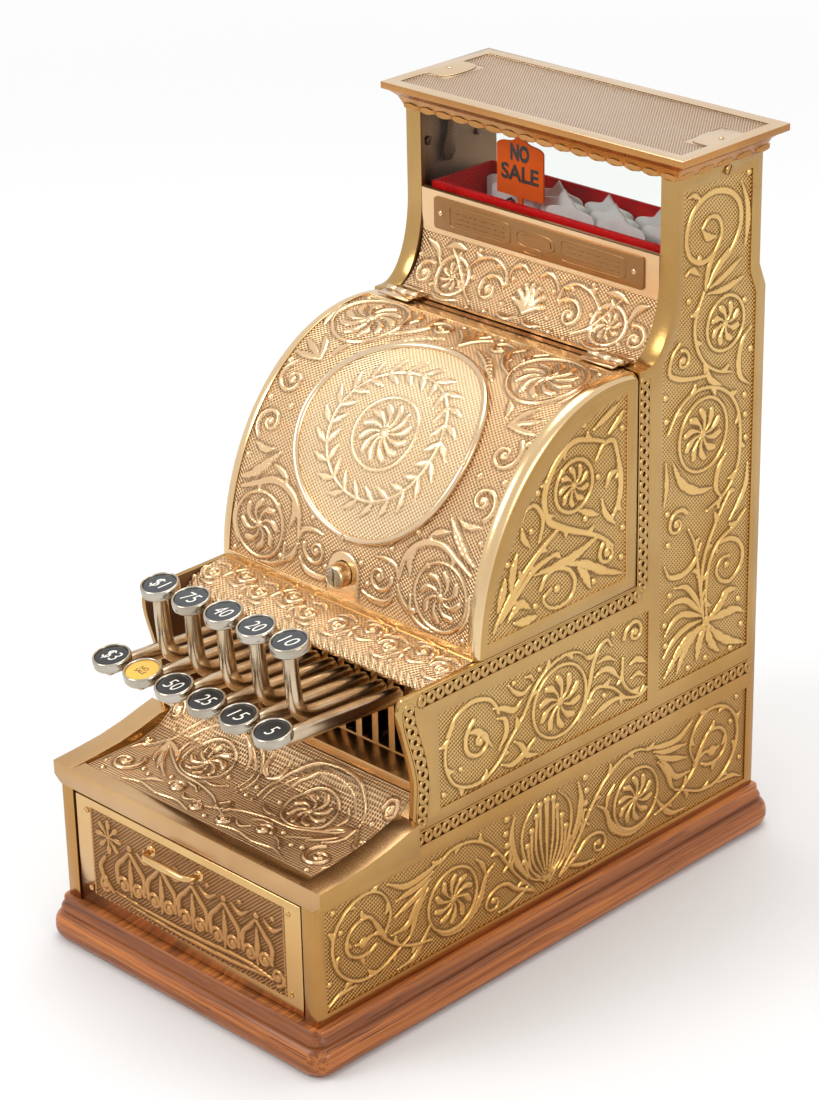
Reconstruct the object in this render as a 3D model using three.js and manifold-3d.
// An antique counter cash register with an embossed brass cabinet, built as the pieces it
// comes apart into: oak base, side plates, coin shelf, key comb, eleven keys on one shaft,
// a curved hood with a lock and two hinges, the indicator tower with its tablets, and a drawer.
//
// Millimetres, +Z up, +X to the viewer's right, the front faces -Y. The origin lies on the
// surface that it stands on, under the middle of the oak base. Inside the cabinet, a depth
// runs back from the cabinet's front face and a height runs up from the top of the oak base.
import * as THREE from 'three';
import { mergeVertices } from 'three/addons/utils/BufferGeometryUtils.js';
import Module from 'manifold-3d';

const wasm = await Module();
wasm.setup();

// Clearances and cutting
const seatGap = 0.3;
const runningGap = 0.4;
const overrun = 4;
const curveSteps = 10;

// The keys from the right end to the left, with the row that each one stands in
const keyTable = [
  ['5', 'low'], ['10', 'high'], ['15', 'low'], ['20', 'high'], ['25', 'low'], ['40', 'high'],
  ['50', 'low'], ['75', 'high'], ['no_sale', 'low'], ['1_dollar', 'high'], ['3_dollar', 'low'],
];
const keyPitch = 12.4;

// Cabinet
const keySideRoom = 37;
const plateThickness = 3;
const lowerTop = 70;
const drawerFlangeWidth = 9;

// Oak base, its moulding as shares of the overhang and of the height
const baseHeight = 26;
const baseOverhang = 10;
const baseCornerRadius = 2;
const baseMouldingShares = [
  [0.4, 0], [0.7, 0.05], [0.93, 0.17], [1, 0.34], [0.93, 0.5],
  [0.7, 0.63], [0.5, 0.7], [0.34, 0.84], [0.34, 1],
];

// Cheeks beside the keys: the front edge as shares of the swell and of the cheek's height
const cheekFoot = 72;
const cheekRise = 11;
const cheekSwell = 8;
const cheekCurveShares = [
  [0, 0], [0, 0.2], [-0.2, 0.44], [0.05, 0.57], [0.45, 0.695], [0.92, 0.845], [1, 0.94], [0.7, 1],
];

// Indicator tower
const towerCurveReach = 23;
const towerFootDrop = 1.5;
const towerFootLedge = 5;
const towerCurveHeight = 50;
const windowHeight = 43.5;
const towerFlangeWidth = 11;
const rearStep = 5.5;
const rearStepHeight = 13.5;
const rearStepDrop = 14;
const rearCoverThickness = 2.5;
const rearSillDrop = 6.5;

// Sunk panels in the side plates, with their margins to the plate's edges
const panelSink = 0.9;
const lowerPanelFront = 7.3;
const lowerPanelRear = 6.5;
const lowerPanelFoot = 6;
const lowerPanelTop = 4;
const middlePanelSet = 20.5;
const middlePanelRear = 9.5;
const middlePanelFoot = 21.5;
const middlePanelTop = 18;
const towerPanelSet = 14;
const towerPanelFront = 6;
const towerPanelRear = 7.8;
const towerPanelFoot = 24;
const towerPanelTop = 8;
const towerPanelStepFoot = 2.5;
const towerPanelStepTop = 2;
const towerPanelCurveFoot = 1.5;
const towerPanelCurveHeight = 32;
const towerPanelCurveShares = [[0, 0], [0.07, 0.06], [0.67, 0.375], [0.87, 0.69], [0.97, 1]];

// Cast scrollwork in the panels: bands along smooth lines, rings and round flowers. Their points are
// shares of a panel's length and height, and the radii are shares of its shorter side.
const scrollRise = 0.8;
const scrollRoot = 0.4;
const vineWidth = 3.2;
const leafWidth = 4.4;
const scrollSteps = 3;
const flowerPetals = 10;
const flowerDipShare = 0.86;
const lowerVineShares = [
  [[0.06, 0.08], [0.21, 0.62], [0.35, 0.93], [0.48, 0.9]],
  [[0.53, 0.15], [0.73, 0.42], [0.79, 0.7], [0.89, 0.67], [0.86, 0.4], [0.79, 0.38]],
  [[0.63, 0.3], [0.85, 0.14], [0.96, 0.52], [0.89, 0.92], [0.74, 0.87], [0.71, 0.6]],
  [[0.06, 0.07], [0.18, 0.28], [0.26, 0.27], [0.26, 0.11], [0.22, 0.17]],
  [[0.06, 0.93], [0.11, 0.75], [0.11, 0.5], [0.03, 0.1]],
];
const lowerLeafShares = [
  [[0.24, 0.58], [0.31, 0.32], [0.41, 0.11], [0.52, 0.2]],
  [[0.48, 0.85], [0.6, 0.75], [0.72, 0.76]],
  [[0.5, 0.75], [0.62, 0.55], [0.71, 0.42]],
  [[0.16, 0.93], [0.16, 0.75], [0.1, 0.3]],
  [[0, 0.1], [0.01, 0.5], [0.05, 0.82]],
  [[0, 0.1], [0.03, 0.42], [0.09, 0.6]],
  [[0, 0.1], [0, 0.5], [0, 0.92]],
];
const lowerRingShares = [[0.43, 0.44, 0.31]];
const lowerFlowerShares = [[0.43, 0.44, 0.22]];
const middleVineShares = [
  [
    [0.07, 0.82], [0.03, 0.39], [0.14, 0.06], [0.28, 0.17], [0.39, 0.53], [0.51, 0.91], [0.66, 0.91],
    [0.7, 0.8],
  ],
  [[0.04, 0.71], [0.15, 0.95], [0.28, 0.73]],
  [[0.65, 0.17], [0.73, 0.41], [0.83, 0.32], [0.95, 0.1]],
  [[0.68, 0.28], [0.73, 0.71], [0.82, 0.84]],
  [[0.88, 0.6], [0.89, 0.26], [0.98, 0.12]],
];
const middleLeafShares = [
  [[0.25, 0.77], [0.35, 0.64], [0.4, 0.71]],
  [[0.35, 0.3], [0.41, 0.21], [0.46, 0.05]],
  [[0.73, 0.55], [0.78, 0.58], [0.86, 0.4]],
];
const middleRingShares = [[0.57, 0.49, 0.38], [0.19, 0.5, 0.23], [0.93, 0.81, 0.14]];
const middleFlowerShares = [[0.57, 0.49, 0.26]];
const towerVineShares = [
  [[0.95, 0.3], [0.66, 0.26], [0.53, 0.2], [0.53, 0.11]],
  [[0.51, 0.1], [0.47, 0.2], [0.6, 0.29], [0.77, 0.36]],
  [[0.66, 0.26], [0.9, 0.23], [0.9, 0.18], [0.69, 0.17], [0.69, 0.22]],
  [[0.06, 0.53], [0.35, 0.59], [0.71, 0.57], [0.87, 0.47], [0.66, 0.35], [0.48, 0.34]],
  [[0.43, 0.79], [0.34, 0.72], [0.47, 0.64], [0.75, 0.6]],
  [[0.47, 0.62], [0.17, 0.64], [0.1, 0.685], [0.2, 0.69]],
  [
    [0.45, 0.79], [0.74, 0.86], [0.79, 0.94], [0.48, 0.975], [0.25, 0.91], [0.4, 0.85], [0.61, 0.89],
    [0.48, 0.93],
  ],
];
const towerLeafShares = [
  [[0.13, 0.47], [0.3, 0.4], [0.56, 0.38]],
  [[0.96, 0.68], [0.83, 0.62], [0.96, 0.56]],
  [[0.48, 0.785], [0.66, 0.78], [0.86, 0.79]],
  [[0.53, 0.095], [0.72, 0.12], [0.86, 0.14]],
  [[0.53, 0.095], [0.72, 0.095], [0.96, 0.08]],
  [[0.53, 0.095], [0.68, 0.06], [0.95, 0.015]],
  [[0.53, 0.095], [0.58, 0.06], [0.69, 0.015]],
  [[0.53, 0.095], [0.47, 0.06], [0.42, 0.02]],
  [[0.53, 0.095], [0.33, 0.06], [0.2, 0.015]],
  [[0.53, 0.095], [0.28, 0.135], [0.06, 0.11]],
  [[0.53, 0.095], [0.3, 0.165], [0.06, 0.16]],
];
const towerRingShares = [[0.455, 0.5, 0.26], [0.675, 0.71, 0.2], [0.18, 0.34, 0.1]];
const towerFlowerShares = [[0.455, 0.5, 0.18], [0.675, 0.71, 0.13]];

// Plate across the tower's front, and the name plate on it
const frontPlateThickness = 2.5;
const frontPlateRecess = 0.5;
const frontPlateRise = 34.5;
const frontPlateBand = 20.5;
const namePlateWidth = 155;
const namePlateHeight = 18.5;
const namePlateThickness = 1.5;
const namePlateDrop = 1.5;
const namePlateCorner = 2;

// Window glass
const glassThickness = 1.8;
const glassLap = 3.5;

// Crown
const crownSideOverhang = 11;
const crownFrontOverhang = 8.85;
const crownHeight = 14.6;
const crownSlab = 4;
const crownSeatOverhang = 0.5;
const crownPanelMargin = 8;
const crownPanelRecess = 0.8;
const crownTabWidth = 29.5;
const crownTabReach = 15;
const crownHollowRoof = 5.5;
const crownCoveShares = [[0, 0], [0.12, 0.26], [0.3, 0.6], [0.65, 0.88], [1, 1]];

// Coin shelf: the side band's and the dish's top lines as shares of depth and rise
const shelfLipTop = 82.7;
const shelfSideOverhang = 5.5;
const shelfFrontOverhang = 0.5;
const shelfLipFace = 8.2;
const shelfFrontBand = 9;
const shelfSideBand = 15;
const shelfDishDrop = 2;
const shelfThickness = 3;
const shelfRear = 82.8;
const shelfRearDrop = 6.5;
const shelfBandRise = 10.5;
const shelfBandShares = [[0, 0], [0.22, 0.08], [0.47, 0.22], [0.7, 0.5], [0.86, 0.78], [1, 1]];
const shelfDishShares = [[0, 0], [0.55, 0], [0.74, 0.2], [0.85, 0.52], [0.92, 0.86], [1, 1]];

// Key comb with its ledge and rail
const combFront = 100.8;
const combThickness = 3;
const combLip = 5.5;
const ledgeDrop = 34;
const railHeight = 12.5;
const slotWidth = 8;
const slotRise = 8;
const slotStep = 1;

// Cover over the comb
const coverLap = 2.2;
const coverLipDepth = 92.5;
const coverLipDrop = 9;
const coverShoulderDepth = 100.5;
const coverShoulderRise = 0.5;
const coverThickness = 2.5;

// Keys
const leverWidth = 7;
const leverHeight = 9.5;
const leverEdge = 1.2;
const leverRise = 8.5;
const pivotDepth = 134.8;
const pivotHeight = 140.5;
const shaftRadius = 3;
const hubRadius = 7;
const bossRadius = 6.5;
const bossLength = 6;
const rearBarWidth = 3;
const rearBarHeight = 8;
const rearBarLap = 4.8;
const capRadius = 10.7;
const capHeight = 6.6;
const capFaceRadius = 9.2;
const capFaceRecess = 1.1;
const capStemRadius = 5.5;
const capTaperHeight = 1.6;
const capRimEdge = 0.7;
const capTilt = THREE.MathUtils.degToRad(10);
const lowCapDepth = 10.3;
const lowCapRise = 17.1;
const highCapDepth = 35.8;
const highCapRise = 54.1;
const padHeight = 3;
const padReach = 4;
const stemWidth = 9;
const stemLean = 4;

// Indicator tablets
const tabletWidth = 35;
const tabletHeight = 38;
const tabletThickness = 1.2;
const tabletLift = 30;
const tabletFootGap = 1.5;
const tabletSet = 27.2;
const tabletStagger = 9;
const tabletShoulderShares = [[1, 0.74], [0.95, 0.81], [0.6, 0.82], [0.25, 0.83], [0.16, 0.91]];
const rodWidth = 3;
const rodThickness = 1.4;
const rodGap = 0.6;

// Tray round the tablets
const traySideRoom = 4.5;
const traySet = 6;
const trayRearRoom = 10.8;
const rearRoom = 19.8;
const trayFloorRise = 19;
const trayWall = 2;
const trayFrontWall = 3.2;
const trayRimRise = 2;

// Hood: a shell on an ellipse, from its foremost point to a crest ahead of its rear edge
const hoodRear = 246.8;
const hoodGap = 1.2;
const hoodFront = 121.8;
const hoodCentreDrop = 5;
const hoodCrestSet = 17.5;
const hoodRise = 131;
const hoodThickness = 3;
const hoodShoulder = 5.5;
const hoodSteps = 18;
const hoodShoulderTurns = [0, 30, 60, 90].map(THREE.MathUtils.degToRad);
const hoodRoomEnd = THREE.MathUtils.degToRad(79);

// Medallion plate, bent to the hood
const medallionHalfWidth = 59.5;
const medallionHalfHeight = 55.2;
const medallionThickness = 1.6;
const medallionTilt = THREE.MathUtils.degToRad(47);
const medallionSpread = THREE.MathUtils.degToRad(42);

// Lock
const lockCentreX = -2;
const lockRise = 18.7;
const lockRadius = 6.8;
const lockStand = 7.6;
const lockFaceEdge = 1;
const lockSlotWidth = 1.2;
const lockSlotDepth = 1.5;
const lockBarrelDepth = 13.5;
const camLength = 14;
const camWidth = 8;
const camThickness = 2.5;

// Hood hinges
const hingeInner = 64;
const hingeLength = 23.5;
const knuckleRadius = 1.9;
const pinRadius = 0.8;
const leafThickness = 1;
const leafDepth = 8;
const leafSeatGap = 0.7;

// Adding counter on its cross frame
const frameSet = 15.2;
const frameDepth = 78;
const frameFootDrop = 47;
const frameDeckRise = 7;
const frameWall = 3;
const frameInset = 3;
const counterWidth = 120;
const counterDepth = 50;
const counterHeight = 46;
const counterWheelRadius = 17;
const counterWheelStand = 6;

// Bell on the rear cover
const bellRadius = 26;
const bellDepth = 11;
const bellWall = 1.6;
const bellOuterShares = [[0.5, 0.07], [0.85, 0.4], [1, 1]];
const bellInnerShares = [[0.8, 0.55], [0.45, 0.22], [0, 0.22]];
const bellHeight = 105;
const bellStemRadius = 2.5;
const bellStemLength = 8;

// Drawer
const drawerHeight = 56;
const drawerRearRoom = 31.8;
const drawerWall = 6;
const drawerDivider = 4;
const drawerFloor = 5;
const drawerSideGap = 1.5;
const drawerFrontThickness = 3;
const drawerFrontSet = 1.2;
const drawerFrontFoot = 1;
const coinRowDepth = 110;
const coinCups = 4;
const billBays = 3;
const drawerPlateWidth = 155;
const drawerPlateHeight = 60.8;
const drawerPlateFoot = 6;
const drawerPlateThickness = 1.5;
const pullCentreX = -7.5;
const pullWidth = 42;
const pullHeight = 56;
const pullReach = 9.2;
const pullRadius = 2.3;
const pullCorner = 5;

const lowCapTop = pivotHeight + lowCapRise;
const highCapTop = pivotHeight + highCapRise;
const ledgeHeight = pivotHeight - ledgeDrop;
const slotTop = pivotHeight + slotRise;
const combTop = slotTop + combLip;
const cheekTop = combTop + cheekRise;
const coverLipHeight = cheekTop - coverLipDrop;
const coverShoulderHeight = cheekTop + coverShoulderRise;
const frameFoot = cheekTop - frameFootDrop;
const frameDeck = cheekTop + frameDeckRise;
const hoodCentreHeight = cheekTop - hoodCentreDrop;
const towerFoot = hoodCentreHeight + hoodRise - towerFootDrop;
const frontPlateBend = towerFoot + frontPlateRise;
const windowSill = frontPlateBend + frontPlateBand;
const namePlateFoot = frontPlateBend - namePlateDrop;
const towerTop = windowSill + windowHeight;
const rearWindowSill = windowSill - rearSillDrop;
const rearStepTop = rearWindowSill - rearStepDrop;
const rearStepFoot = rearStepTop - rearStepHeight;
const trayFloor = towerFoot + trayFloorRise;
const trayRim = windowSill + trayRimRise;
const tabletFoot = trayFloor + trayWall + tabletFootGap;
const keySpan = (keyTable.length - 1) * keyPitch;
const bodyWidth = keySpan + 2 * keySideRoom;
const crownWidth = bodyWidth + 2 * crownSideOverhang;
const shelfRearTop = ledgeHeight - shelfRearDrop;
const halfWidth = bodyWidth / 2;
const innerHalfWidth = halfWidth - plateThickness;
const fittedHalfWidth = innerHalfWidth - seatGap;
const towerEdge = hoodRear + hoodGap;
const towerFootEnd = towerEdge + towerFootLedge;
const towerFront = towerFootEnd + towerCurveReach;
const tabletFirstDepth = towerFront + tabletSet;
const tabletLastDepth = tabletFirstDepth + 2 * tabletStagger;
const rearBarEnd = tabletLastDepth + rearBarLap;
const trayFront = towerFront + traySet;
const trayRear = tabletLastDepth + trayRearRoom;
const bodyDepth = trayRear + rearRoom;
const crownDepth = bodyDepth - rearStep - towerFront + 2 * crownFrontOverhang;
const drawerRear = bodyDepth - drawerRearRoom;
const frameFront = pivotDepth + frameSet;
const towerInnerHalfWidth = halfWidth - towerFlangeWidth;
const cabinetFoot = seatGap;
const hoodFoot = cheekTop + seatGap;
const hoodCentreDepth = hoodRear - hoodCrestSet;
const hoodReach = hoodCentreDepth - hoodFront;
const coverRear = hoodFront + coverLap;
const leafSeat = towerFoot + leafSeatGap;
const lockHeight = hoodFoot + lockRise;
const lockRiseShare = (lockHeight - hoodCentreHeight) / hoodRise;
const lockSeat = hoodCentreDepth - hoodReach * Math.sqrt(1 - lockRiseShare ** 2);
const lockFront = lockSeat - lockStand;
const lockBarrelRear = lockFront + lockBarrelDepth;

const metal = (color, roughness) => new THREE.MeshStandardMaterial({ color, roughness, metalness: 1 });
const plain = (color, roughness) => new THREE.MeshStandardMaterial({ color, roughness, metalness: 0 });
const yellowBrass = metal(0xc9a04e, 0.32);
const roseBrass = metal(0xd9ae84, 0.32);
const creamBrass = metal(0xe3c48d, 0.25);
const agedBrass = metal(0x9b7a4b, 0.4);
const nickel = metal(0xb9ac98, 0.22);
const steel = metal(0x8d8a84, 0.4);
const oak = plain(0x7a4422, 0.5);
const drawerWood = plain(0xa77a4a, 0.65);
const redTin = plain(0x8e1d18, 0.45);
const whiteTablet = plain(0xdedcd6, 0.5);
const orangeTablet = plain(0xd9641c, 0.5);
const blackIron = plain(0x2c2a28, 0.6);
const clearGlass = new THREE.MeshStandardMaterial({
  color: 0xe8f0ee, roughness: 0.05, metalness: 0, transparent: true, opacity: 0.25,
});

// Outline frames: an outline's two coordinates and the way its thickness runs
const X = new THREE.Vector3(1, 0, 0);
const Y = new THREE.Vector3(0, 1, 0);
const Z = new THREE.Vector3(0, 0, 1);
const acrossFrame = new THREE.Matrix4().makeBasis(Y, Z, X);
const forwardFrame = new THREE.Matrix4().makeBasis(X, Z, Y.clone().negate());

function solidOf(geometry) {
  const bare = geometry.clone();
  bare.deleteAttribute('normal');
  bare.deleteAttribute('uv');
  const welded = mergeVertices(bare);
  const vertProperties = new Float32Array(welded.attributes.position.array);
  const triVerts = new Uint32Array(welded.index.array);
  return new wasm.Manifold(new wasm.Mesh({ numProp: 3, vertProperties, triVerts }));
}

function geometryOf(solid) {
  const mesh = solid.getMesh();
  const geometry = new THREE.BufferGeometry();
  geometry.setAttribute('position', new THREE.Float32BufferAttribute(mesh.vertProperties, 3));
  geometry.setIndex(Array.from(mesh.triVerts));
  return geometry.toNonIndexed();
}

function carve(geometries, cuts = []) {
  let solid = geometries.map(solidOf).reduce((whole, next) => whole.add(next));
  for (const cut of cuts) solid = solid.subtract(solidOf(cut));
  return geometryOf(solid);
}

function prism(shape, frame, start, length, steps = curveSteps) {
  const settings = { depth: length, bevelEnabled: false, curveSegments: steps };
  return new THREE.ExtrudeGeometry(shape, settings).translate(0, 0, start).applyMatrix4(frame);
}

const polygon = (points) => new THREE.Shape(points.map(([a, b]) => new THREE.Vector2(a, b)));

// A prism of a depth-and-height outline, from one place across the width to another
const across = (shape, from, to) => prism(shape, acrossFrame, Math.min(from, to), Math.abs(to - from));

// A prism of a width-and-height outline, from its front depth to its rear depth
const forward = (shape, front, rear) => prism(shape, forwardFrame, -rear, rear - front);

function block(x0, x1, y0, y1, z0, z1) {
  const size = [Math.abs(x1 - x0), Math.abs(y1 - y0), Math.abs(z1 - z0)];
  return new THREE.BoxGeometry(...size).translate((x0 + x1) / 2, (y0 + y1) / 2, (z0 + z1) / 2);
}

const rodAcross = (radius, from, to, depth, height, sides = 20) =>
  new THREE.CylinderGeometry(radius, radius, Math.abs(to - from), sides)
    .rotateZ(Math.PI / 2)
    .translate((from + to) / 2, depth, height);

const rodForward = (radius, front, rear, x, height, sides = 24) =>
  new THREE.CylinderGeometry(radius, radius, rear - front, sides).translate(x, (front + rear) / 2, height);

// A solid through a stack of convex rings with as many points each, closed flat at both ends
function loft(rings) {
  const count = rings[0].length;
  const positions = [];
  const push = (...points) => points.forEach((point) => positions.push(point.x, point.y, point.z));
  rings.slice(1).forEach((upper, level) => {
    const lower = rings[level];
    for (let i = 0; i < count; i += 1) {
      const next = (i + 1) % count;
      push(lower[i], lower[next], upper[next]);
      push(lower[i], upper[next], upper[i]);
    }
  });
  const top = rings[rings.length - 1];
  for (let i = 1; i < count - 1; i += 1) {
    push(rings[0][0], rings[0][i + 1], rings[0][i]);
    push(top[0], top[i], top[i + 1]);
  }
  const geometry = new THREE.BufferGeometry();
  geometry.setAttribute('position', new THREE.Float32BufferAttribute(positions, 3));
  return geometry;
}

// A level rectangle with round corners, as a ring of points
function roundedRing(halfX, halfY, radius, centreY, height, steps) {
  const ring = [];
  [[1, 1], [-1, 1], [-1, -1], [1, -1]].forEach(([signX, signY], corner) => {
    for (let step = 0; step <= steps; step += 1) {
      const angle = (corner + step / steps) * Math.PI / 2;
      const x = signX * (halfX - radius) + radius * Math.cos(angle);
      const y = centreY + signY * (halfY - radius) + radius * Math.sin(angle);
      ring.push(new THREE.Vector3(x, y, height));
    }
  });
  return ring;
}

const cabinet = new THREE.Group();
cabinet.position.set(0, -bodyDepth / 2, baseHeight);

function place(name, geometry, material, parent = cabinet) {
  geometry.computeVertexNormals();
  const mesh = new THREE.Mesh(geometry, material);
  mesh.name = name;
  parent.add(mesh);
  return mesh;
}

function woodBase() {
  const rings = baseMouldingShares.map(([outShare, upShare]) => {
    const out = outShare * baseOverhang;
    const height = (upShare - 1) * baseHeight;
    const radius = baseCornerRadius + out;
    return roundedRing(halfWidth + out, bodyDepth / 2 + out, radius, bodyDepth / 2, height, 5);
  });
  place('wood_base', loft(rings), oak);
}

// The cheek's front edge, from its foot up to its top
function cheekCurve() {
  const points = cheekCurveShares.map(([outShare, upShare]) => new THREE.Vector2(
    cheekFoot - outShare * cheekSwell,
    lowerTop + upShare * (cheekTop - lowerTop),
  ));
  return new THREE.SplineCurve(points).getPoints(2 * curveSteps);
}

function sideOutline() {
  const shape = new THREE.Shape();
  shape.moveTo(0, cabinetFoot);
  shape.lineTo(bodyDepth, cabinetFoot);
  shape.lineTo(bodyDepth, rearStepFoot);
  shape.lineTo(bodyDepth - rearStep, rearStepTop);
  shape.lineTo(bodyDepth - rearStep, towerTop);
  shape.lineTo(towerFront, towerTop);
  shape.lineTo(towerFront, towerFoot + towerCurveHeight);
  const reach = towerFront - towerFootEnd;
  const centre = towerFoot + towerCurveHeight;
  shape.absellipse(towerFootEnd, centre, reach, towerCurveHeight, 0, -Math.PI / 2, true);
  shape.lineTo(towerEdge, towerFoot);
  shape.lineTo(towerEdge, cheekTop);
  cheekCurve().reverse().forEach((point) => shape.lineTo(point.x, point.y));
  shape.lineTo(0, lowerTop);
  return shape;
}

// A bent strip down the tower's front: straight from its top, then a quarter ellipse to its foot
function towerStrip(set, thickness, top, bend, foot) {
  const reach = towerFront - towerFootEnd + set;
  const rise = bend - foot;
  const shape = new THREE.Shape();
  shape.moveTo(towerFootEnd + reach, top);
  shape.lineTo(towerFootEnd + reach, bend);
  shape.absellipse(towerFootEnd, bend, reach, rise, 0, -Math.PI / 2, true);
  shape.lineTo(towerEdge, foot);
  shape.lineTo(towerEdge, foot - thickness);
  shape.lineTo(towerFootEnd, foot - thickness);
  shape.absellipse(towerFootEnd, bend, reach + thickness, rise + thickness, -Math.PI / 2, 0, false);
  shape.lineTo(towerFootEnd + reach + thickness, top);
  return shape;
}

// A band of one width along a smooth line through points
function ribbon(points, width) {
  const line = new THREE.SplineCurve(points);
  const steps = scrollSteps * (points.length - 1);
  const near = [];
  const far = [];
  line.getPoints(steps).forEach((point, index) => {
    const ahead = line.getTangent(index / steps);
    const aside = new THREE.Vector2(-ahead.y, ahead.x).multiplyScalar(width / 2);
    near.push(point.clone().add(aside));
    far.push(point.clone().sub(aside));
  });
  return new THREE.Shape([...near, ...far.reverse()]);
}

function flower(centre, radius) {
  const shape = new THREE.Shape();
  const count = 2 * flowerPetals;
  for (let index = 0; index < count; index += 1) {
    const angle = index / count * 2 * Math.PI;
    const reach = index % 2 === 0 ? radius : radius * flowerDipShare;
    const point = [centre.x + reach * Math.cos(angle), centre.y + reach * Math.sin(angle)];
    if (index === 0) shape.moveTo(...point);
    else shape.lineTo(...point);
  }
  return shape;
}

function ring(centre, radius) {
  const shape = new THREE.Shape().absarc(centre.x, centre.y, radius + vineWidth / 2, 0, 2 * Math.PI, false);
  shape.holes.push(new THREE.Path().absarc(centre.x, centre.y, radius - vineWidth / 2, 0, 2 * Math.PI, true));
  return shape;
}

// The scrollwork of a panel: vines, leaves, rings and flowers, from the panel's own shares
function scrollwork(panel, vines, leaves, rings, flowers) {
  const at = ([along, up]) => new THREE.Vector2(
    THREE.MathUtils.lerp(panel.front, panel.rear, along), THREE.MathUtils.lerp(panel.foot, panel.top, up),
  );
  const side = Math.min(Math.abs(panel.rear - panel.front), panel.top - panel.foot);
  return [
    ...vines.map((points) => ribbon(points.map(at), vineWidth)),
    ...leaves.map((points) => ribbon(points.map(at), leafWidth)),
    ...rings.map(([along, up, reach]) => ring(at([along, up]), reach * side)),
    ...flowers.map(([along, up, reach]) => flower(at([along, up]), reach * side)),
  ];
}

const box = ({ front, rear, foot, top }) => polygon([[front, foot], [rear, foot], [rear, top], [front, top]]);

// The three sunk panels of a side plate and the cast shapes that stand in them
function sidePanels() {
  const lower = {
    front: lowerPanelFront, rear: bodyDepth - lowerPanelRear,
    foot: lowerPanelFoot, top: lowerTop - lowerPanelTop,
  };
  const centre = (lower.front + lower.rear) / 2;
  const middle = {
    front: cheekFoot + middlePanelSet, rear: towerEdge + middlePanelRear,
    foot: lowerTop + middlePanelFoot, top: cheekTop - middlePanelTop,
  };
  const tower = {
    front: towerFootEnd + towerPanelSet, rear: bodyDepth - towerPanelRear,
    foot: lowerTop + towerPanelFoot, top: towerTop - towerPanelTop,
  };
  const curveFoot = towerFoot - towerPanelCurveFoot;
  const frontEdge = towerFront + towerPanelFront;
  const curve = towerPanelCurveShares.map(([backShare, upShare]) => [
    THREE.MathUtils.lerp(tower.front, frontEdge, backShare), curveFoot + upShare * towerPanelCurveHeight,
  ]).reverse();
  const towerShape = polygon([
    [tower.front, tower.foot], [tower.rear, tower.foot], [tower.rear, rearStepFoot - towerPanelStepFoot],
    [tower.rear - rearStep, rearStepTop - towerPanelStepTop], [tower.rear - rearStep, tower.top],
    [frontEdge, tower.top], ...curve,
  ]);
  const halves = [lower.rear, lower.front].map((rear) => scrollwork(
    { ...lower, front: centre, rear }, lowerVineShares, lowerLeafShares, lowerRingShares, lowerFlowerShares,
  ));
  return {
    panels: [box(lower), box(middle), towerShape],
    casts: [
      ...halves.flat(),
      ...scrollwork(middle, middleVineShares, middleLeafShares, middleRingShares, middleFlowerShares),
      ...scrollwork(tower, towerVineShares, towerLeafShares, towerRingShares, towerFlowerShares),
    ],
  };
}

function sidePlate(name, side) {
  const inner = side * innerHalfWidth;
  const outer = side * halfWidth;
  const drawerFlange = block(
    side * (halfWidth - drawerFlangeWidth), outer, 0, plateThickness, cabinetFoot, lowerTop,
  );
  const bend = towerFoot + towerCurveHeight;
  const towerFlange = across(
    towerStrip(0, plateThickness, towerTop, bend, towerFoot), side * towerInnerHalfWidth, outer,
  );
  const boss = rodAcross(
    bossRadius, inner - side * bossLength, outer - side * seatGap, pivotDepth, pivotHeight,
  );
  const bore = rodAcross(
    shaftRadius + seatGap, inner - side * (bossLength + overrun), inner, pivotDepth, pivotHeight,
  );
  const floor = outer - side * panelSink;
  const { panels, casts } = sidePanels();
  const sunk = panels.map((shape) => across(shape, floor, outer + side * overrun));
  const raised = casts.map((shape) => across(shape, floor - side * scrollRoot, floor + side * scrollRise));
  const plate = across(sideOutline(), inner, outer);
  const bare = carve([plate, drawerFlange, towerFlange, boss], [bore, ...sunk]);
  place(name, carve([bare, ...raised]), yellowBrass);
}

function rearCover() {
  const outer = [
    [bodyDepth, cabinetFoot], [bodyDepth, rearStepFoot],
    [bodyDepth - rearStep, rearStepTop], [bodyDepth - rearStep, rearWindowSill],
  ];
  const inner = outer.map(([depth, height]) => [depth - rearCoverThickness, height]).reverse();
  place('rear_cover', across(polygon([...outer, ...inner]), -fittedHalfWidth, fittedHalfWidth), yellowBrass);
}

function towerFrontPlate() {
  const strip = towerStrip(
    frontPlateRecess, frontPlateThickness, windowSill, frontPlateBend, towerFoot - frontPlateRecess,
  );
  const half = towerInnerHalfWidth - seatGap;
  place('tower_front_plate', across(strip, -half, half), roseBrass);
}

function roundedPlate(width, height, foot, radius) {
  const shape = new THREE.Shape();
  const half = width / 2;
  const top = foot + height;
  shape.moveTo(-half + radius, foot);
  shape.lineTo(half - radius, foot);
  shape.absarc(half - radius, foot + radius, radius, -Math.PI / 2, 0, false);
  shape.absarc(half - radius, top - radius, radius, 0, Math.PI / 2, false);
  shape.absarc(-half + radius, top - radius, radius, Math.PI / 2, Math.PI, false);
  shape.absarc(-half + radius, foot + radius, radius, Math.PI, 1.5 * Math.PI, false);
  return shape;
}

function namePlate() {
  const rear = towerFront + frontPlateRecess - seatGap;
  const shape = roundedPlate(namePlateWidth, namePlateHeight, namePlateFoot, namePlateCorner);
  place('tower_name_plate', prism(shape, forwardFrame, -rear, namePlateThickness, 3), creamBrass);
}

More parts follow.
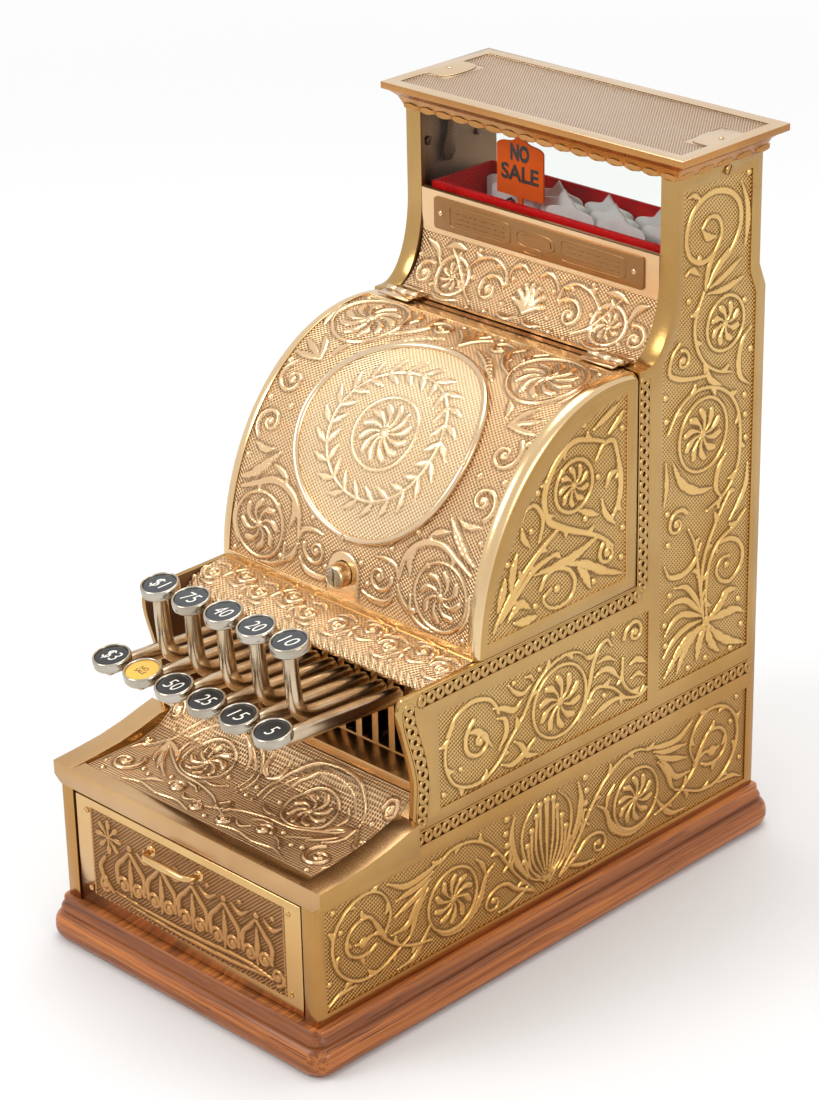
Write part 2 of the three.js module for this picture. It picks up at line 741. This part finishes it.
function windowGlass() {
  const front = towerFront + frontPlateRecess + frontPlateThickness + seatGap;
  const top = towerTop - seatGap;
  place('front_glass', block(
    -fittedHalfWidth, fittedHalfWidth, front, front + glassThickness, windowSill - glassLap, top,
  ), clearGlass);
  const rear = bodyDepth - rearStep - seatGap;
  place('rear_glass', block(
    -fittedHalfWidth, fittedHalfWidth, rear - glassThickness, rear, rearWindowSill + seatGap, top,
  ), clearGlass);
}

function crownPanel(halfX, halfY, centreY) {
  const tabHalf = crownTabWidth / 2;
  const tabFlat = halfX - crownTabReach + tabHalf / 2;
  const shape = new THREE.Shape();
  shape.moveTo(-halfX, centreY - halfY);
  shape.lineTo(halfX, centreY - halfY);
  [1, -1].forEach((side) => {
    shape.lineTo(side * halfX, centreY - side * tabHalf);
    shape.lineTo(side * tabFlat, centreY - side * tabHalf);
    shape.quadraticCurveTo(
      side * (halfX - crownTabReach), centreY - side * tabHalf, side * (halfX - crownTabReach), centreY,
    );
    shape.quadraticCurveTo(
      side * (halfX - crownTabReach), centreY + side * tabHalf, side * tabFlat, centreY + side * tabHalf,
    );
    shape.lineTo(side * halfX, centreY + side * tabHalf);
    shape.lineTo(side * halfX, centreY + side * halfY);
    if (side === 1) shape.lineTo(-halfX, centreY + halfY);
  });
  return shape;
}

function crown() {
  const seat = towerTop + seatGap;
  const coveHeight = crownHeight - crownSlab;
  const centreY = (towerFront + bodyDepth - rearStep) / 2;
  const seatHalfX = halfWidth + crownSeatOverhang;
  const seatHalfY = centreY - towerFront + crownSeatOverhang;
  const corners = [[1, 1], [-1, 1], [-1, -1], [1, -1]];
  const ring = (outShare, height) => corners.map(([signX, signY]) => new THREE.Vector3(
    signX * THREE.MathUtils.lerp(seatHalfX, crownWidth / 2, outShare),
    centreY + signY * THREE.MathUtils.lerp(seatHalfY, crownDepth / 2, outShare),
    height,
  ));
  const rings = crownCoveShares.map(([outShare, upShare]) => ring(outShare, seat + upShare * coveHeight));
  const top = seat + crownHeight;
  rings.push(ring(1, top));
  const panel = prism(
    crownPanel(crownWidth / 2 - crownPanelMargin, crownDepth / 2 - crownPanelMargin, centreY),
    new THREE.Matrix4(), top - crownPanelRecess, overrun, 6,
  );
  const hollowHalfX = towerInnerHalfWidth - seatGap;
  const hollowHalfY = seatHalfY - plateThickness - crownSeatOverhang;
  const hollow = block(
    -hollowHalfX, hollowHalfX, centreY - hollowHalfY, centreY + hollowHalfY,
    seat - overrun, top - crownHollowRoof,
  );
  place('crown_plate', carve([loft(rings)], [panel, hollow]), creamBrass);
}

function coinShelf() {
  const foot = lowerTop + seatGap;
  const outer = halfWidth + shelfSideOverhang;
  const bandInner = outer - shelfSideBand;
  const bandRear = cheekFoot - seatGap;
  const bandLine = shelfBandShares.map(([backShare, upShare]) => [
    THREE.MathUtils.lerp(-shelfFrontOverhang, bandRear, backShare), shelfLipTop + upShare * shelfBandRise,
  ]);
  const band = polygon([...bandLine, [bandRear, foot], [-shelfFrontOverhang, foot]]);
  const dishTop = shelfLipTop - shelfDishDrop;
  const dishLine = shelfDishShares.map(([backShare, upShare]) => [
    THREE.MathUtils.lerp(shelfFrontBand - overrun / 2, shelfRear, backShare),
    THREE.MathUtils.lerp(dishTop, shelfRearTop, upShare),
  ]);
  const dishUnder = dishLine.map(([depth, height], index) => {
    const [depthBefore, heightBefore] = dishLine[Math.max(index - 1, 0)];
    const [depthAfter, heightAfter] = dishLine[Math.min(index + 1, dishLine.length - 1)];
    const run = depthAfter - depthBefore;
    const rise = heightAfter - heightBefore;
    const drop = shelfThickness / Math.hypot(run, rise);
    return [Math.min(depth + drop * rise, shelfRear), height - drop * run];
  }).reverse();
  const lap = overrun / 2;
  const pieces = [
    across(band, -outer, -bandInner),
    across(band, bandInner, outer),
    block(-bandInner - lap, bandInner + lap, -shelfFrontOverhang, shelfFrontBand, foot, shelfLipTop),
    across(polygon([...dishLine, ...dishUnder]), -fittedHalfWidth, fittedHalfWidth),
    block(
      -bandInner - lap, bandInner + lap, shelfFrontBand - lap, cheekFoot / 2,
      dishTop - shelfThickness, dishTop,
    ),
  ];
  const chamferTop = shelfLipTop - shelfLipFace;
  const chamfers = [-1, 1].map((side) => {
    const wedge = polygon([
      [side * halfWidth, foot], [side * outer, chamferTop],
      [side * (outer + overrun), chamferTop], [side * (outer + overrun), foot - overrun],
      [side * halfWidth, foot - overrun],
    ]);
    return forward(wedge, -shelfFrontOverhang - overrun, cheekFoot + overrun);
  });
  place('coin_shelf', carve(pieces, chamfers), agedBrass);
}

const keyX = (index) => ((keyTable.length - 1) / 2 - index) * keyPitch;

function keyComb() {
  const railFront = shelfRear + seatGap;
  const railFoot = ledgeHeight - railHeight;
  const outline = polygon([
    [railFront, railFoot], [railFront, ledgeHeight], [combFront, ledgeHeight], [combFront, combTop],
    [combFront + combThickness, combTop], [combFront + combThickness, ledgeHeight - combThickness],
    [railFront + combThickness, ledgeHeight - combThickness], [railFront + combThickness, railFoot],
  ]);
  const slots = keyTable.map((key, index) => block(
    keyX(index) - slotWidth / 2, keyX(index) + slotWidth / 2,
    combFront - overrun, combFront + combThickness + overrun, ledgeHeight + slotStep, slotTop,
  ));
  place('key_comb', carve([across(outline, -fittedHalfWidth, fittedHalfWidth)], slots), agedBrass);
}

function keyboardCover() {
  const shape = new THREE.Shape();
  shape.moveTo(coverRear, cheekTop);
  shape.quadraticCurveTo(coverShoulderDepth, coverShoulderHeight, coverLipDepth, coverLipHeight);
  shape.lineTo(coverLipDepth + coverThickness, coverLipHeight - coverThickness / 2);
  shape.quadraticCurveTo(
    coverShoulderDepth + coverThickness, coverShoulderHeight - coverThickness,
    coverRear, cheekTop - coverThickness,
  );
  place('keyboard_cover', across(shape, -fittedHalfWidth, fittedHalfWidth), roseBrass);
}

function keyShaft() {
  const shaft = rodAcross(shaftRadius, -fittedHalfWidth, fittedHalfWidth, pivotDepth, pivotHeight);
  place('key_shaft', shaft, steel);
}

// The visible bar's middle height at a depth: it rises towards the front
function barHeightAt(depth) {
  return pivotHeight + leverRise * (pivotDepth - depth) / (pivotDepth - 2 * lowCapDepth);
}

// Where a lever stops under its tilted cap, at a depth
const capSeatAt = (depth, capDepth, capTop) =>
  capTop - (capHeight + seatGap) / Math.cos(capTilt) + (depth - capDepth) * Math.tan(capTilt);

function lowLeverOutline() {
  const padFront = lowCapDepth - padReach;
  const padRear = lowCapDepth + padReach;
  const padTop = (depth) => capSeatAt(depth, lowCapDepth, lowCapTop);
  const shoulder = lowCapDepth + capRadius + seatGap;
  const half = leverHeight / 2;
  return polygon([
    [padFront, padTop(padFront) - padHeight], [padRear, padTop(padRear) - padHeight],
    [shoulder, barHeightAt(shoulder) - half], [pivotDepth, pivotHeight - half],
    [pivotDepth, pivotHeight + half], [shoulder + half, barHeightAt(shoulder + half) + half],
    [shoulder + leverEdge, barHeightAt(shoulder) + half / 2],
    [shoulder, padTop(padRear) + leverEdge / 2],
    [padRear, padTop(padRear)], [padFront, padTop(padFront)],
  ]);
}

function highLeverOutline() {
  const padTop = (depth) => capSeatAt(depth, highCapDepth, highCapTop);
  const half = leverHeight / 2;
  const stemHalf = stemWidth / 2;
  const stemFront = highCapDepth - stemHalf;
  const stemRear = highCapDepth + stemHalf;
  const foot = highCapDepth + stemLean;
  return polygon([
    [foot - stemHalf + leverEdge, barHeightAt(foot) - half + leverEdge], [foot, barHeightAt(foot) - half],
    [pivotDepth, pivotHeight - half], [pivotDepth, pivotHeight + half],
    [foot + 2 * stemHalf, barHeightAt(foot + stemWidth) + half],
    [foot + stemHalf + leverEdge, barHeightAt(foot) + half + 2 * leverEdge],
    [foot + stemHalf, barHeightAt(foot) + 2 * half],
    [stemRear, padTop(stemRear)], [stemFront, padTop(stemFront)],
    [foot - stemHalf, barHeightAt(foot) + half], [foot - stemHalf, barHeightAt(foot) - half + 2 * leverEdge],
  ]);
}

// Bars and stems, with their long edges rounded off
function roundedBar(shape, x) {
  const settings = {
    depth: leverWidth - 2 * leverEdge, bevelEnabled: true, bevelThickness: leverEdge,
    bevelSize: leverEdge, bevelOffset: -leverEdge, bevelSegments: 1,
  };
  return new THREE.ExtrudeGeometry(shape, settings)
    .translate(0, 0, x - leverWidth / 2 + leverEdge)
    .applyMatrix4(acrossFrame);
}

function keyCap(x, depth, top) {
  const profile = [
    [0, -capHeight], [capStemRadius, -capHeight], [capStemRadius, -capHeight + capRimEdge],
    [capRadius - capRimEdge, -capHeight + capTaperHeight],
    [capRadius, -capHeight + capTaperHeight + capRimEdge],
    [capRadius, -capRimEdge], [capRadius - capRimEdge, 0], [capFaceRadius, 0],
    [capFaceRadius, -capFaceRecess], [0, -capFaceRecess],
  ].map(([radius, height]) => new THREE.Vector2(radius, height));
  return new THREE.LatheGeometry(profile, 16).rotateX(Math.PI / 2 + capTilt).translate(x, depth, top);
}

function keys() {
  keyTable.forEach(([name, row], index) => {
    const x = keyX(index);
    const low = row === 'low';
    const bar = roundedBar(low ? lowLeverOutline() : highLeverOutline(), x);
    const hub = rodAcross(hubRadius, x - leverWidth / 2, x + leverWidth / 2, pivotDepth, pivotHeight, 16);
    const rear = block(
      x - rearBarWidth / 2, x + rearBarWidth / 2, pivotDepth, rearBarEnd,
      pivotHeight - rearBarHeight / 2, pivotHeight + rearBarHeight / 2,
    );
    const bore = rodAcross(
      shaftRadius + runningGap, x - leverWidth, x + leverWidth, pivotDepth, pivotHeight, 16,
    );
    place(`lever_${name}`, carve([bar, hub, rear], [bore]), nickel);
    const [depth, top] = low ? [lowCapDepth, lowCapTop] : [highCapDepth, highCapTop];
    place(`cap_${name}`, keyCap(x, depth, top), nickel);
  });
}

// Tablets stand in three rows, so that neighbours pass behind one another
const tabletDepth = (index) => tabletFirstDepth + ((index + 1) % 3) * tabletStagger;

function tabletShape(x, foot) {
  const half = tabletWidth / 2;
  const point = (side, [outShare, upShare]) => [x + side * outShare * half, foot + upShare * tabletHeight];
  const [edge, corner, shoulder, neck, tip] = tabletShoulderShares;
  const shape = new THREE.Shape();
  shape.moveTo(x - half, foot);
  shape.lineTo(x + half, foot);
  shape.lineTo(...point(1, edge));
  shape.quadraticCurveTo(...point(1, corner), ...point(1, shoulder));
  shape.quadraticCurveTo(...point(1, neck), ...point(1, tip));
  shape.lineTo(x, foot + tabletHeight);
  shape.lineTo(...point(-1, tip));
  shape.quadraticCurveTo(...point(-1, neck), ...point(-1, shoulder));
  shape.quadraticCurveTo(...point(-1, corner), ...point(-1, edge));
  return shape;
}

function tablets() {
  keyTable.forEach(([name], index) => {
    const raised = name === 'no_sale';
    const lift = raised ? tabletLift : 0;
    const x = keyX(index);
    const depth = tabletDepth(index);
    const plateShape = tabletShape(x, tabletFoot + lift);
    const plate = prism(plateShape, forwardFrame, -depth - tabletThickness / 2, tabletThickness, 4);
    const rodFoot = pivotHeight + rearBarHeight / 2 + rodGap + lift;
    const rod = block(
      x - rodWidth / 2, x + rodWidth / 2, depth - rodThickness / 2, depth + rodThickness / 2,
      rodFoot, tabletFoot + lift + rodWidth,
    );
    place(`tablet_${name}`, carve([plate, rod]), raised ? orangeTablet : whiteTablet);
  });
}

function tabletTray() {
  const half = keyX(0) + tabletWidth / 2 + traySideRoom + trayWall;
  const shell = block(-half, half, trayFront, trayRear, trayFloor, trayRim);
  const room = block(
    -half + trayWall, half - trayWall, trayFront + trayFrontWall, trayRear - trayWall,
    trayFloor + trayWall, trayRim + overrun,
  );
  const slots = keyTable.map((key, index) => {
    const halfX = rodWidth / 2 + runningGap;
    const halfY = rodThickness / 2 + runningGap;
    const depth = tabletDepth(index);
    return block(
      keyX(index) - halfX, keyX(index) + halfX, depth - halfY, depth + halfY,
      trayFloor - overrun, trayFloor + trayWall + overrun,
    );
  });
  place('tablet_tray', carve([shell], [room, ...slots]), redTin);
}

// The hood's side outline at a place across the width, drawn in by an inset
function hoodRing(x, inset, foot) {
  const reach = hoodReach - inset;
  const rise = hoodRise - inset;
  const first = Math.asin((foot - hoodCentreHeight) / rise);
  const last = Math.acos(-(hoodRear - hoodCentreDepth) / reach);
  const ring = [];
  for (let step = hoodSteps; step >= 0; step -= 1) {
    const angle = THREE.MathUtils.lerp(first, last, step / hoodSteps);
    const depth = hoodCentreDepth - reach * Math.cos(angle);
    ring.push(new THREE.Vector3(x, depth, hoodCentreHeight + rise * Math.sin(angle)));
  }
  ring.push(new THREE.Vector3(x, hoodRear, foot));
  return ring;
}

function hoodCover() {
  const foot = hoodFoot;
  const rings = [];
  [-1, 1].forEach((side) => {
    hoodShoulderTurns.forEach((turn) => {
      const out = side < 0 ? turn : Math.PI / 2 - turn;
      const x = side * (halfWidth - hoodShoulder * (1 - Math.cos(out)));
      rings.push(hoodRing(x, hoodShoulder * (1 - Math.sin(out)), foot));
    });
  });
  const innerReach = hoodReach - hoodThickness;
  const innerRise = hoodRise - hoodThickness;
  const room = new THREE.Shape();
  room.moveTo(hoodRear + overrun, hoodCentreHeight - overrun);
  room.lineTo(hoodRear + overrun, hoodCentreHeight + innerRise * Math.sin(hoodRoomEnd));
  room.absellipse(hoodCentreDepth, hoodCentreHeight, innerReach, innerRise, hoodRoomEnd, Math.PI, false);
  room.lineTo(hoodCentreDepth - innerReach, hoodCentreHeight - overrun);
  const roomHalf = halfWidth - hoodThickness;
  const lockHole = rodForward(
    lockRadius + seatGap, hoodCentreDepth - hoodReach - overrun, lockBarrelRear + overrun,
    lockCentreX, lockHeight,
  );
  const roomSolid = prism(room, acrossFrame, -roomHalf, 2 * roomHalf, 14);
  place('hood_cover', carve([loft(rings)], [roomSolid, lockHole]), roseBrass);
}

function medallion() {
  const shape = new THREE.Shape();
  const near = seatGap;
  const far = seatGap + medallionThickness;
  const middle = Math.PI - medallionTilt;
  const arc = (set, from, to) => shape.absellipse(
    hoodCentreDepth, hoodCentreHeight, hoodReach + set, hoodRise + set, from, to, from > to,
  );
  arc(far, middle - medallionSpread, middle + medallionSpread);
  arc(near, middle + medallionSpread, middle - medallionSpread);
  const band = prism(shape, acrossFrame, -halfWidth, bodyWidth, 16);
  const angle = medallionTilt;
  const centre = new THREE.Vector3(
    0, hoodCentreDepth - hoodReach * Math.cos(angle), hoodCentreHeight + hoodRise * Math.sin(angle),
  );
  const normal = new THREE.Vector3(0, -Math.cos(angle) / hoodReach, Math.sin(angle) / hoodRise).normalize();
  const upward = new THREE.Vector3().crossVectors(normal, X);
  const disc = new THREE.Shape().absellipse(0, 0, medallionHalfWidth, medallionHalfHeight, 0, 2 * Math.PI);
  const frame = new THREE.Matrix4().makeBasis(X, upward, normal).setPosition(centre);
  const punch = prism(disc, frame, -halfWidth / 2, halfWidth, 16);
  place('medallion_plate', geometryOf(solidOf(band).intersect(solidOf(punch))), creamBrass);
}

function lockBarrel() {
  const face = rodForward(lockRadius - lockFaceEdge, lockFront, lockFront + overrun, lockCentreX, lockHeight);
  const barrel = rodForward(lockRadius, lockFront + lockFaceEdge, lockBarrelRear, lockCentreX, lockHeight);
  const cam = block(
    lockCentreX - camWidth / 2, lockCentreX + camLength,
    lockBarrelRear - seatGap, lockBarrelRear + camThickness,
    lockHeight - camWidth / 2, lockHeight + camWidth / 2,
  );
  const slot = block(
    lockCentreX - lockSlotWidth / 2, lockCentreX + lockSlotWidth / 2,
    lockFront - overrun, lockFront + lockSlotDepth, lockHeight - lockRadius / 2, lockHeight + lockRadius / 2,
  );
  place('lock_barrel', carve([face, barrel, cam], [slot]), nickel);
}

// Each hinge: the outer knuckles, the pin and a leaf on the tower, the middle knuckle on the hood
function hoodHinges() {
  const pinDepth = (hoodRear + towerEdge) / 2;
  const pinHeight = leafSeat + knuckleRadius;
  const third = hingeLength / 3;
  [['left', -1], ['right', 1]].forEach(([name, side]) => {
    const at = (distance) => side * (hingeInner + distance);
    const knuckle = (from, to) => rodAcross(knuckleRadius, at(from), at(to), pinDepth, pinHeight, 16);
    const leaf = (from, to, front, rear, foot) => block(
      at(from), at(to), front, rear, foot, foot + leafThickness,
    );
    const pin = rodAcross(pinRadius, at(0), at(hingeLength), pinDepth, pinHeight, 12);
    const clear = rodAcross(
      knuckleRadius + seatGap, at(third - seatGap), at(2 * third + seatGap), pinDepth, pinHeight, 16,
    );
    const fixedLeaf = leaf(0, hingeLength, pinDepth, towerEdge + leafDepth, leafSeat);
    const barrel = carve([knuckle(0, hingeLength), fixedLeaf], [clear]);
    place(`hinge_${name}_fixed`, carve([barrel, pin]), creamBrass);
    const movingLeaf = leaf(
      0, hingeLength, hoodRear - leafDepth, pinDepth - knuckleRadius - seatGap, pinHeight - leafThickness,
    );
    const arm = leaf(
      third, 2 * third, hoodRear - leafDepth, pinDepth, pinHeight - leafThickness,
    );
    const bore = rodAcross(pinRadius + seatGap, at(0), at(hingeLength), pinDepth, pinHeight, 12);
    place(`hinge_${name}_moving`, carve([movingLeaf, arm, knuckle(third, 2 * third)], [bore]), creamBrass);
  });
}

function addingCounter() {
  const rear = frameFront + frameDepth;
  const wallOuter = fittedHalfWidth - frameInset;
  const deckTop = frameDeck + frameWall;
  const parts = [-1, 1].flatMap((side) => [
    block(side * (wallOuter - frameWall), side * wallOuter, frameFront, rear, frameFoot, deckTop),
    block(
      side * (wallOuter - frameWall / 2), side * fittedHalfWidth, frameFront, rear,
      frameFoot, cheekTop - frameInset,
    ),
  ]);
  parts.push(block(-wallOuter, wallOuter, frameFront, rear, frameDeck, deckTop));
  const caseFront = frameFront + (frameDepth - counterDepth) / 2;
  parts.push(block(
    -counterWidth / 2, counterWidth / 2, caseFront, caseFront + counterDepth,
    frameDeck, deckTop + counterHeight,
  ));
  parts.push(rodAcross(
    counterWheelRadius, -counterWidth / 2 + frameWall, counterWidth / 2 - frameWall,
    caseFront + counterDepth / 2, deckTop + counterHeight - counterWheelRadius + counterWheelStand,
  ));
  place('adding_counter', carve(parts), blackIron);
}

function drawerBell() {
  const stemRoot = bodyDepth - rearCoverThickness - seatGap;
  const dome = ([outShare, alongShare]) => [outShare * bellRadius, bellStemLength + alongShare * bellDepth];
  const profile = [
    [0, 0], [bellStemRadius, 0], [bellStemRadius, bellStemLength],
    ...bellOuterShares.map(dome),
    [bellRadius - bellWall, bellStemLength + bellDepth],
    ...bellInnerShares.map(dome),
  ].map(([radius, along]) => new THREE.Vector2(radius, along));
  const bell = new THREE.LatheGeometry(profile, 24).rotateX(Math.PI).translate(0, stemRoot, bellHeight);
  place('drawer_bell', bell, steel);
}

function drawer() {
  const half = halfWidth - drawerFlangeWidth - drawerSideGap;
  const front = drawerFrontSet + drawerFrontThickness + seatGap;
  const foot = seatGap;
  const top = foot + drawerHeight;
  const tray = block(-half, half, front, drawerRear, foot, top);
  const roomFoot = foot + drawerFloor;
  const bays = (count, from, to) => {
    const width = (2 * (half - drawerWall) - (count - 1) * drawerDivider) / count;
    return Array.from({ length: count }, (_, index) => {
      const left = -half + drawerWall + index * (width + drawerDivider);
      return block(left, left + width, from, to, roomFoot, top + overrun);
    });
  };
  const coinFront = front + drawerWall;
  const coinRear = coinFront + coinRowDepth;
  const rooms = [
    ...bays(coinCups, coinFront, coinRear),
    ...bays(billBays, coinRear + drawerDivider, drawerRear - drawerWall),
  ];
  place('drawer_box', carve([tray], rooms), drawerWood);

  const frontHalf = halfWidth - drawerFlangeWidth - seatGap;
  const frontRear = drawerFrontSet + drawerFrontThickness;
  place('drawer_front', block(
    -frontHalf, frontHalf, drawerFrontSet, frontRear, drawerFrontFoot, lowerTop - seatGap,
  ), creamBrass);

  const plateRear = drawerFrontSet - seatGap;
  const plateFront = plateRear - drawerPlateThickness;
  place('drawer_plate', block(
    -drawerPlateWidth / 2, drawerPlateWidth / 2, plateFront, plateRear,
    drawerPlateFoot, drawerPlateFoot + drawerPlateHeight,
  ), agedBrass);

  const left = pullCentreX - pullWidth / 2 + pullRadius;
  const right = pullCentreX + pullWidth / 2 - pullRadius;
  const root = plateFront - seatGap;
  const tip = plateFront - pullReach + pullRadius;
  const point = (x, depth) => new THREE.Vector3(x, depth, pullHeight);
  const path = new THREE.CurvePath();
  path.add(new THREE.LineCurve3(point(left, root), point(left, tip + pullCorner)));
  path.add(new THREE.QuadraticBezierCurve3(
    point(left, tip + pullCorner), point(left, tip), point(left + pullCorner, tip),
  ));
  path.add(new THREE.LineCurve3(point(left + pullCorner, tip), point(right - pullCorner, tip)));
  path.add(new THREE.QuadraticBezierCurve3(
    point(right - pullCorner, tip), point(right, tip), point(right, tip + pullCorner),
  ));
  path.add(new THREE.LineCurve3(point(right, tip + pullCorner), point(right, root)));
  const section = new THREE.Shape().absarc(0, 0, pullRadius, 0, 2 * Math.PI);
  const pull = new THREE.ExtrudeGeometry(section, { steps: 24, extrudePath: path, curveSegments: 5 });
  place('drawer_pull', pull, creamBrass);
}

woodBase();
sidePlate('left_side_plate', -1);
sidePlate('right_side_plate', 1);
rearCover();
towerFrontPlate();
namePlate();
windowGlass();
crown();
coinShelf();
keyComb();
keyboardCover();
keyShaft();
keys();
tablets();
tabletTray();
hoodCover();
medallion();
lockBarrel();
hoodHinges();
addingCounter();
drawerBell();
drawer();

const cashRegister = new THREE.Group();
cashRegister.add(cabinet);

export default cashRegister;
